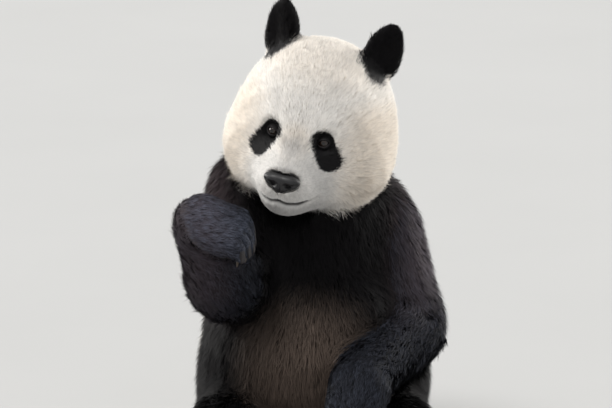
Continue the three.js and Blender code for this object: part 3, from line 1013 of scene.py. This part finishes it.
class Shader:
    """A material with one Principled surface, some of whose sockets hold fixed values."""

    def __init__(self, name, fixed):
        self.material = bpy.data.materials.new(name)
        self.material.use_nodes = True
        self.tree = self.material.node_tree
        self.surface = self.tree.nodes["Principled BSDF"]
        for socket, value in fixed.items():
            self.surface.inputs[socket].default_value = value

    def node(self, kind, settings=None, sockets=None, output=0):
        """A node of any type, with its settings and then the values or links of its sockets."""
        made = self.tree.nodes.new(kind)
        for name, value in (settings or {}).items():
            if name == "stops":
                self.set_stops(made.color_ramp.elements, value)
            else:
                setattr(made, name, value)
        for name, value in (sockets or {}).items():
            self.feed(made.inputs[name], value)
        return Value(self, made.outputs[output])

    def set_stops(self, stops, wanted):
        """Places and colours of a ramp's stops; a new ramp has two of them."""
        for index, (position, colour) in enumerate(wanted):
            stop = stops[index] if index < 2 else stops.new(position)
            stop.position = position
            stop.color = (*colour, 1)

    def feed(self, socket, value):
        if isinstance(value, Value):
            self.tree.links.new(value.socket, socket)
        elif isinstance(value, tuple) and len(value) == 3 and socket.type == "RGBA":
            socket.default_value = (*value, 1)
        else:
            socket.default_value = value

    def attribute(self, name):
        return self.node("ShaderNodeAttribute", {"attribute_name": name}, output="Fac")

    def mix(self, factor, a, b):
        settings = {"data_type": "RGBA", "blend_type": "MIX", "clamp_factor": True}
        return self.node("ShaderNodeMix", settings, {0: factor, 6: a, 7: b}, output=2)

    def scaled(self, colour, by):
        sockets = {0: colour, "Scale": by}
        return self.node("ShaderNodeVectorMath", {"operation": "SCALE"}, sockets)

    def place(self):
        """Where a point of the surface is on the object."""
        return self.node("ShaderNodeTexCoord", output="Object")

    def noise(self, scale, detail=3):
        sockets = {"Vector": self.place(), "Scale": scale, "Detail": detail, "Roughness": 0.55}
        return self.node("ShaderNodeTexNoise", None, sockets)

    def pebbles(self, scale):
        sockets = {"Vector": self.place(), "Scale": scale}
        return self.node("ShaderNodeTexVoronoi", {"feature": "F1"}, sockets)

    def bump(self, height, strength, distance):
        sockets = {"Height": height, "Strength": strength, "Distance": distance}
        self.feed(self.surface.inputs["Normal"], self.node("ShaderNodeBump", None, sockets))

    def finish(self, colour, roughness):
        self.feed(self.surface.inputs["Base Color"], colour)
        self.feed(self.surface.inputs["Roughness"], roughness)
        return self.material


# Colours of the hair; a root lies in the shade of the hairs round it, so it is darker than a tip.
CREAM_ROOT = (0.78, 0.735, 0.68)
CREAM_TIP = (0.94, 0.92, 0.885)
STRAW = (0.80, 0.68, 0.54)
# PALE_GREY greys the muzzle and between the eyes, and paints shade under the chin.
PALE_GREY = (0.52, 0.508, 0.495)
JET_ROOT = (0.0025, 0.0023, 0.0025)
JET_TIP = (0.009, 0.008, 0.009)
# RUSSET is rusty brown hair with a painted rim of light; SLATE is a painted bluish sheen on black hair.
RUSSET = (0.135, 0.100, 0.108)
EARTH = (0.150, 0.112, 0.090)
SLATE = (0.150, 0.172, 0.235)


def coat_colour(shader, along, tint):
    """The colour of a hair from its root to its tip, under the markings."""
    black, brown_and_rim_sheen = shader.attribute("black"), shader.attribute("brown_and_rim_sheen")
    grey_sheen_and_shade, warm = shader.attribute("grey_sheen_and_shade"), shader.attribute("warm")
    pale = shader.mix(along, CREAM_ROOT, CREAM_TIP)
    pale = shader.mix(warm * 0.55, pale, STRAW)
    # Grey on the head, with painted shade under the chin.
    pale = shader.mix(grey_sheen_and_shade, pale, PALE_GREY)
    dark = shader.mix(along, JET_ROOT, JET_TIP)
    # Towards the tips on the shoulders: rusty brown with a painted rim of light.
    dark = shader.mix(brown_and_rim_sheen * (0.3 + 0.6 * along), dark, RUSSET)
    dark = shader.mix(warm * black * (0.35 + 0.6 * along), dark, EARTH)
    # Towards the tips on the arms and paws: a painted bluish sheen.
    dark = shader.mix(grey_sheen_and_shade * along * 0.8, dark, SLATE)
    colour = shader.mix(black, pale, dark)
    return shader.scaled(colour, 1 + tint * 0.2)


def coat_material(name, gloss, sheen):
    fixed = {"Sheen Weight": sheen, "Sheen Roughness": 0.4, "Specular IOR Level": gloss}
    shader = Shader(name, fixed)
    along, tint = shader.attribute("along"), shader.attribute("tint")
    colour = coat_colour(shader, along, tint + (shader.noise(28) - 0.5) * 0.9)
    return shader.finish(colour, 0.64 + tint * 0.05)


PAD_SKIN = (0.021, 0.018, 0.019)
LIP_SKIN = (0.010, 0.008, 0.009)
NOSE_DARK = (0.005, 0.0045, 0.005)
NOSE_LIGHT = (0.013, 0.012, 0.013)
CLAW_ROOT_HORN = (0.016, 0.013, 0.012)
CLAW_TIP_HORN = (0.11, 0.085, 0.062)
IRIS_STOPS = (            # from the middle of the pupil outwards
    (0.0, (0.002, 0.002, 0.002)),
    (0.24, (0.002, 0.0015, 0.0015)),
    (0.30, (0.020, 0.010, 0.006)),
    (0.56, (0.012, 0.006, 0.004)),
    (0.64, (0.004, 0.003, 0.003)),
    (0.72, (0.006, 0.004, 0.004)),
)
FLOOR_GREYS = ((0.49, 0.49, 0.485), (0.52, 0.52, 0.515))


def skin_material():
    shader = Shader("skin_and_underfur", {"Specular IOR Level": 0.3})
    grain = shader.noise(420, detail=2)
    # The skin and underfur take the colour of hair near its root, with the same painted shade.
    colour = coat_colour(shader, 0.25, (grain - 0.5) * 1.2)
    bare, lip = shader.attribute("bare"), shader.attribute("lip")
    pebbles = shader.pebbles(520)
    colour = shader.mix(bare, colour, PAD_SKIN)
    colour = shader.mix(lip, colour, LIP_SKIN)
    shader.bump(pebbles * bare + grain * (1 - bare), strength=0.5, distance=0.0012)
    return shader.finish(colour, 0.85 - bare * 0.25 - lip * 0.35 + grain * 0.1)


def nose_material():
    fixed = {"Coat Weight": 0.2, "Coat Roughness": 0.25, "Specular IOR Level": 0.4}
    shader = Shader("nose_leather", fixed)
    pebbles = shader.pebbles(750)
    patches = shader.noise(90)
    colour = shader.mix(patches, NOSE_DARK, NOSE_LIGHT)
    shader.bump(pebbles, strength=0.5, distance=0.0008)
    return shader.finish(colour, 0.3 + patches * 0.16)


def eye_material():
    fixed = {"Coat Weight": 0.6, "Coat Roughness": 0.03, "Specular IOR Level": 0.3}
    shader = Shader("eye_wet", fixed)
    from_axis = shader.attribute("from_axis")
    fibres = shader.noise(1400, detail=2)
    frayed = from_axis + (fibres - 0.5) * 0.06
    iris = shader.node("ShaderNodeValToRGB", {"stops": IRIS_STOPS}, {0: frayed})
    return shader.finish(iris, 0.12 + fibres * 0.05)


def claw_material():
    shader = Shader("claw_horn", {"Specular IOR Level": 0.5})
    along = shader.attribute("along")
    streaks = shader.noise(260, detail=4)
    colour = shader.mix(along, CLAW_ROOT_HORN, CLAW_TIP_HORN)
    colour = shader.scaled(colour, 0.8 + streaks * 0.4)
    shader.bump(streaks, strength=0.3, distance=0.0006)
    return shader.finish(colour, 0.32 + streaks * 0.2)


def floor_material():
    shader = Shader("studio_floor", {"Specular IOR Level": 0.2})
    colour = shader.mix(shader.noise(1.5), *FLOOR_GREYS)
    return shader.finish(colour, 0.9)


# ---------------------------------------------------------------- pieces of the head


def grid_mesh(name, rings, matrix, is_closed=True):
    """A mesh from rings of points in a placed frame, closed over its first and last ring or open."""
    rows, sides = rings.shape[:2]
    faces = []
    for row in range(rows - 1):
        here, there = row * sides, (row + 1) * sides
        for k in range(sides):
            after = (k + 1) % sides
            faces.append((here + k, here + after, there + after, there + k))
    if is_closed:
        faces.append(tuple(range(sides))[::-1])
        faces.append(tuple(range((rows - 1) * sides, rows * sides)))
    mesh = bpy.data.meshes.new(name)
    mesh.from_pydata(to_world(rings.reshape(-1, 3), matrix).tolist(), [], faces)
    mesh.update()
    mesh.shade_smooth()
    return mesh


def eye_axes(side):
    """A frame at an eye: +X to the panda's left, +Y up, +Z the way it looks."""
    gaze = Vector(gaze_of(side))
    up = Vector(aimed((0, 0, 1), head_frame))
    up = (up - gaze * up.dot(gaze)).normalized()
    return Matrix.Translation(eyes[side]) @ basis(up.cross(gaze), up, gaze)


def eyeball(name, side):
    """An eyeball with a cornea that stands a little proud."""
    sides = 40
    turns = around(sides)
    angles = np.linspace(0.02, math.pi * 0.62, 28)
    radius = EYE_RADIUS - 0.6 + 0.7 * (1 - ramp(0.0, 0.62, angles))
    reach = (radius * np.sin(angles))[:, None]
    height = (radius * np.cos(angles))[:, None] * np.ones(sides)
    rings = np.stack([reach * np.cos(turns), reach * np.sin(turns), height], -1)
    mesh = grid_mesh(name, rings, eye_axes(side))
    with_values(mesh, {"from_axis": np.repeat(angles / 1.1, sides)})
    return linked(name, mesh)


LID_SIDES = 48
LID_STEPS = (             # share of the way out, height above the eyeball, share of bare lip
    (-0.05, -1.5, 1),
    (0.0, 0.5, 1),
    (0.03, 1.5, 1),
    (0.10, 2.1, 0.8),
    (0.22, 2.0, 0.3),
    (0.42, 1.6, 0),
    (0.7, 1.2, 0),
    (1.0, 0.6, 0),
)
LID_OPENING = (10.2, 6.4, 5.6)               # half its width, and its height above and below
LID_REACH = 21
LID_SLANT = 16
BALL_EDGE = 11.4          # beyond it, lids slope down evenly from the eyeball


def lid_rings(side):
    """Rings from under the edge of the lids out over the socket."""
    turns = around(LID_SIDES)
    across, upward = np.cos(turns), np.sin(turns)
    half_width, above, below = LID_OPENING
    level = (half_width * across, np.where(upward > 0, above, below) * upward)
    opening = np.stack(rotated(*level, math.radians(LID_SLANT) * side), 1)
    outer = LID_REACH * np.stack([across, upward], 1)
    rings = []
    for share, proud, _ in LID_STEPS:
        flat = blend(opening, outer, share)
        reach = np.linalg.norm(flat, axis=1)
        ball = np.sqrt(np.maximum(EYE_RADIUS**2 - np.minimum(reach, BALL_EDGE) ** 2, 0))
        ball = ball - np.maximum(reach - BALL_EDGE, 0) * 0.55
        rings.append(np.column_stack([flat, ball + proud + 1.0 * ramp(0.1, 1.0, share)]))
    return np.stack(rings)


def lids(side):
    """The black lids of an eye, with bare edges."""
    mesh = grid_mesh("lids", lid_rings(side), eye_axes(side), is_closed=False)
    lip = np.repeat([bare for _, _, bare in LID_STEPS], LID_SIDES)
    with_values(mesh, {"black": 1, "brown_and_rim_sheen": 0, "grey_sheen_and_shade": 0, "warm": 0, "bare": 0, "lip": lip})
    return linked("lids", mesh)


# The nose is four ellipsoids run together: centre, radii and turn about the upright.
NOSE_EGGS = (
    ((0, -198, -63), (30, 13, 9), 0),
    ((16, -200, -69), (14, 11, 10), 10),
    ((-16, -200, -69), (14, 11, 10), -10),
    ((0, -199, -78), (12, 11, 12), 0),
)
NOSE_MIDDLE = np.array([0, -198, -70.0])
NOSE_BLEND = 10           # over how much of a gap two of them run together
NOSE_ROWS, NOSE_SIDES = 54, 72


def nose_field(points):
    """Distance to the surface of the nose, about: negative inside it."""
    nearest = np.full(len(points), 1e3)
    for centre, radii, turn in NOSE_EGGS:
        x, y, z = (points - np.array(centre)).T
        x, y = rotated(x, y, -math.radians(turn))
        distance = (egg(np.column_stack([x, y, z]), (0, 0, 0), radii) - 1) * min(radii)
        overlap = np.maximum(NOSE_BLEND - np.abs(nearest - distance), 0) / NOSE_BLEND
        nearest = np.minimum(nearest, distance) - overlap**2 * NOSE_BLEND / 4
    return nearest


def nose_surface():
    """Points on the surface of the nose, all round its middle."""
    tilts = np.linspace(0.03, math.pi - 0.03, NOSE_ROWS)
    tilt, turn = np.meshgrid(tilts, around(NOSE_SIDES), indexing="ij")
    ways = [np.sin(tilt) * np.cos(turn), -np.cos(tilt), np.sin(tilt) * np.sin(turn)]
    ways = np.stack(ways, -1).reshape(-1, 3)
    near, far = np.zeros(len(ways)), np.full(len(ways), 60.0)
    for _ in range(22):
        half = (near + far) / 2
        is_inside = nose_field(NOSE_MIDDLE + ways * half[:, None]) < 0
        near = np.where(is_inside, half, near)
        far = np.where(is_inside, far, half)
    return NOSE_MIDDLE + ways * near[:, None]


def nose():
    """The bare nose, with two nostrils that open to the front and sides, and a groove below."""
    points = nose_surface()
    for side in SIDES.values():
        hole = egg(points[:, [0, 2]], (side * 13, -74), (5.5, 4.5))
        slit, _ = near_bar(points[:, [0, 2]], (side * 15, -75), (side * 29, -68))
        depth = -dent(hole, 8.5, 1) - dent(slit, 4.0, 2.4)
        points[:, 1] += depth * (points[:, 1] < NOSE_MIDDLE[1])
    points[:, 1] -= dent(points[:, 0], 1.5, 1.8) * ramp(-68, -78, points[:, 2])
    mesh = grid_mesh("nose_leather", points.reshape(NOSE_ROWS, NOSE_SIDES, 3), head_frame)
    return linked("nose_leather", mesh)


# ---------------------------------------------------------------- claws


def digit(limb, index):
    """Where a digit's tip lies in its paw's frame, and how far it bends towards the sole."""
    length = PAW_SIZE[limb[:3]]["length"]
    bow = 1 - digit_place(index) ** 2
    bend = math.radians(CURL[limb])
    root_y = -length * (0.56 + 0.08 * bow)
    reach = length * (0.26 + 0.05 * bow)
    y, z = root_y - reach * math.cos(bend), -2 - reach * math.sin(bend)
    return np.array([digit_across(limb, index), y, z]), bend


CLAW_RINGS, CLAW_SIDES = 9, 10
CLAW_RADIUS = 4.4
CLAW_TIP_RADIUS = 0.35
CLAW_DROP = 7             # how far the tip curves down
CLAW_SINK = 7             # how far the root goes into the digit
CLAW_TILT = math.radians(14)


def claw_rings(shares):
    """Rings of a claw that points along -Y, curved towards -Z and flattened at the sides."""
    turns = around(CLAW_SIDES)
    radius = (CLAW_RADIUS * (1 - shares) ** 0.75 + CLAW_TIP_RADIUS)[:, None]
    x = 0.72 * radius * np.cos(turns)
    y = -CLAW_LENGTH * shares[:, None] * np.ones(CLAW_SIDES)
    z = -CLAW_DROP * shares[:, None] ** 2 + radius * np.sin(turns)
    return x, y, z


def claws(name, limb):
    """The five claws of a paw."""
    shares = np.linspace(0, 1, CLAW_RINGS)
    x, y, z = claw_rings(shares)
    parts = []
    for index in range(DIGITS):
        tip, bend = digit(limb, index)
        root = tip - CLAW_SINK * np.array([0, -math.cos(bend), -math.sin(bend)])
        rings = np.stack([x, *rotated(y, z, bend + CLAW_TILT)], -1) + root
        mesh = grid_mesh(name, rings, paw_frames[limb])
        with_values(mesh, {"along": np.repeat(shares, CLAW_SIDES)})
        parts.append(linked(name, mesh))
    return joined(parts)


def joined(parts):
    """The first of some objects, with the rest of them in its mesh."""
    bpy.ops.object.select_all(action="DESELECT")
    for part in parts:
        part.select_set(True)
    bpy.context.view_layer.objects.active = parts[0]
    bpy.ops.object.join()
    parts[0].select_set(False)
    return parts[0]


# ---------------------------------------------------------------- assembly

PALE_PIECES = ("coat_face", "coat_forehead", "coat_crown", "coat_head", "coat_back")


def dressed(piece, material, slot, *replaced):
    """Gives a piece its material and body, and hides the nodes that it stands for; the slot is not
    used.
    """
    piece.data.materials.clear()
    piece.data.materials.append(material)
    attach(piece, "root")
    if replaced:
        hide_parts(*replaced)


def add_coat():
    pale_hair = coat_material("coat_hair_pale", gloss=0.2, sheen=0.1)
    dark_hair = coat_material("coat_hair_dark", gloss=0.09, sheen=0.02)
    owners = piece_of_triangles()
    for name in map(str, np.unique(owners)):
        coat = tufts(name, triangles[owners == name])
        if name.startswith(PALE_PIECES):
            dressed(coat, pale_hair, "coat_white")
        else:
            dressed(coat, dark_hair, "coat_black")


def add_skin():
    values = markings(surface.places, labels)
    values["bare"] = pads
    values["lip"] = -dent(mouth_gap(to_local(surface.places, head_frame)), 1, 3.2)
    with_values(surface.mesh, values)
    surface.mesh.shade_smooth()
    skin = joined([linked("skin", surface.mesh), lids(1), lids(-1)])
    dressed(skin, skin_material(), "coat_black", *FLESH)


def add_nose_and_eyes():
    dressed(nose(), nose_material(), "nose_leather", "nose")
    wet = eye_material()
    for name, side in SIDES.items():
        dressed(eyeball(f"eyeball_{name}", side), wet, "eye_gloss", f"eye_{name}")


def add_claws():
    horn = claw_material()
    for limb in PAWS:
        kind = "fore" if limb.startswith("arm") else "hind"
        paw = f"{kind}_{limb[4:]}"
        replaced = [f"claw_{paw}_{index + 1}" for index in range(DIGITS)]
        dressed(claws(f"claws_{paw}", limb), horn, "claw_horn", *replaced)


add_coat()
add_skin()
add_nose_and_eyes()
add_claws()

# ---------------------------------------------------------------- studio

FLOOR_SIZE = 80
SKY_COLOUR = (0.97, 0.985, 1.0)
SKY_STRENGTH = 0.62
CAMERA_AIM = Vector((-0.011, -0.117, 0.543))
CAMERA_DISTANCE = 5.5
CAMERA_DOWN = 14          # degrees that it looks down
CAMERA_LENS = 174.9


def lamp(name, toward, strength, spread, colour):
    """A broad, distant lamp that shines from a direction."""
    light = bpy.data.lights.new(name, "SUN")
    light.energy = strength
    light.angle = math.radians(spread)
    light.color = colour
    made = bpy.data.objects.new(name, light)
    bpy.context.scene.collection.objects.link(made)
    made.rotation_euler = Vector(toward).to_track_quat("Z", "Y").to_euler()


def add_floor():
    half = FLOOR_SIZE / 2
    corners = [(-half, -half, 0), (half, -half, 0), (half, half, 0), (-half, half, 0)]
    floor = linked("floor", bpy.data.meshes.new("floor"))
    floor.data.from_pydata(corners, [], [(0, 1, 2, 3)])
    floor.data.materials.append(floor_material())


def add_light():
    """An even, near-white sky, one soft lamp in front and one behind at either side."""
    world = bpy.data.worlds.new("studio")
    world.use_nodes = True
    backdrop = world.node_tree.nodes["Background"].inputs
    backdrop["Color"].default_value = (*SKY_COLOUR, 1)
    backdrop["Strength"].default_value = SKY_STRENGTH
    bpy.context.scene.world = world
    lamp("key", (-0.42, -0.5, 1.3), strength=1.45, spread=18, colour=(1, 0.98, 0.95))
    for name, side in SIDES.items():
        behind = (side * 1.4, 0.75, 0.45)
        lamp(f"rim_{name}", behind, strength=2.3, spread=25, colour=(1, 0.98, 0.94))


def add_camera():
    """A long lens, in front and a little above."""
    camera = bpy.data.cameras.new("camera")
    camera.lens = CAMERA_LENS
    camera.sensor_width = 36
    camera.clip_end = 200
    made = bpy.data.objects.new("camera", camera)
    bpy.context.scene.collection.objects.link(made)
    down = math.radians(CAMERA_DOWN)
    made.location = CAMERA_AIM + CAMERA_DISTANCE * Vector((0, -math.cos(down), math.sin(down)))
    made.rotation_euler = (math.pi / 2 - down, 0, 0)
    bpy.context.scene.camera = made


add_floor()
add_light()
add_camera()
bpy.context.scene.view_settings.view_transform = "Standard"

bpy.context.view_layer.update()
